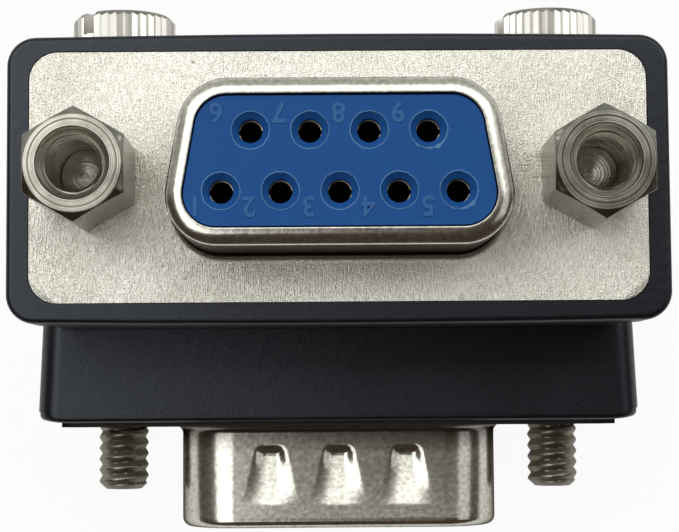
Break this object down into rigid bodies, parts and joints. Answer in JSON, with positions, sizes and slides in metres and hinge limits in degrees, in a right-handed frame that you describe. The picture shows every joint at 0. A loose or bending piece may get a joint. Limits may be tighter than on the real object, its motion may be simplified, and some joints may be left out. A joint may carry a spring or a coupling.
{
  "type": "d-sub gender changer",
  "caption": "Right-angle D-sub adapter: a socket with hex jackscrews in front, a plug with captive knurled thumbscrews turned square to it, in one moulded body.",
  "frame": {"origin": "middle of the bounding box at the level of the flat rear face that the adapter lies on", "axes": "+X across the connectors from contact 1 to contact 5, +Y along the thumbscrews towards their heads (the plug faces -Y), +Z out of the socket"},
  "size_m": [0.0332, 0.0298, 0.0299],
  "materials": {
    "black_moulding": "fine spark-eroded grain",
    "nickel_shell": "satin nickel plate on pressed steel",
    "nickel_screw": "bright nickel plate on turned steel",
    "blue_insulator": "satin moulded PBT",
    "black_insulator": "satin moulded PBT",
    "gold_contact": "gold flash on turned brass",
    "tinned_wire": "tinned copper",
    "spring_steel": "phosphated"
  },
  "bodies": {
    "root": {"moulded_body": "black_moulding", "socket_shell": "nickel_shell", "socket_rear_shell": "nickel_shell", "socket_insulator": "blue_insulator", "socket_rear_insulator": "black_insulator", "plug_shell": "nickel_shell", "plug_rear_shell": "nickel_shell", "plug_insulator": "blue_insulator", "plug_rear_insulator": "black_insulator", "socket_contact_1": "gold_contact", "plug_pin_1": "gold_contact", "link_wire_1": "tinned_wire", "socket_contact_2": "gold_contact", "plug_pin_2": "gold_contact", "link_wire_2": "tinned_wire", "socket_contact_3": "gold_contact", "plug_pin_3": "gold_contact", "link_wire_3": "tinned_wire", "socket_contact_4": "gold_contact", "plug_pin_4": "gold_contact", "link_wire_4": "tinned_wire", "socket_contact_5": "gold_contact", "plug_pin_5": "gold_contact", "link_wire_5": "tinned_wire", "socket_contact_6": "gold_contact", "plug_pin_6": "gold_contact", "link_wire_6": "tinned_wire", "socket_contact_7": "gold_contact", "plug_pin_7": "gold_contact", "link_wire_7": "tinned_wire", "socket_contact_8": "gold_contact", "plug_pin_8": "gold_contact", "link_wire_8": "tinned_wire", "socket_contact_9": "gold_contact", "plug_pin_9": "gold_contact", "link_wire_9": "tinned_wire", "jackscrew_left": "nickel_screw", "jack_nut_left": "nickel_screw", "retaining_bush_left": "nickel_screw", "jackscrew_right": "nickel_screw", "jack_nut_right": "nickel_screw", "retaining_bush_right": "nickel_screw"},
    "carriage_left": {"retaining_ring_left": "spring_steel"},
    "thumbscrew_left": {"thumbscrew_left": "nickel_screw"},
    "carriage_right": {"retaining_ring_right": "spring_steel"},
    "thumbscrew_right": {"thumbscrew_right": "nickel_screw"}
  },
  "joints": [
    {"name": "thumbscrew_slide_left", "type": "slide", "parent": "root", "child": "carriage_left", "axis": [0, 1, 0], "range_m": [0, 0.0039]},
    {"name": "thumbscrew_turn_left", "type": "hinge", "parent": "carriage_left", "child": "thumbscrew_left", "pos_m": [-0.01249, 0, 0.0074], "axis": [0, 1, 0], "continuous": true},
    {"name": "thumbscrew_slide_right", "type": "slide", "parent": "root", "child": "carriage_right", "axis": [0, 1, 0], "range_m": [0, 0.0039]},
    {"name": "thumbscrew_turn_right", "type": "hinge", "parent": "carriage_right", "child": "thumbscrew_right", "pos_m": [0.01249, 0, 0.0074], "axis": [0, 1, 0], "continuous": true}
  ]
}
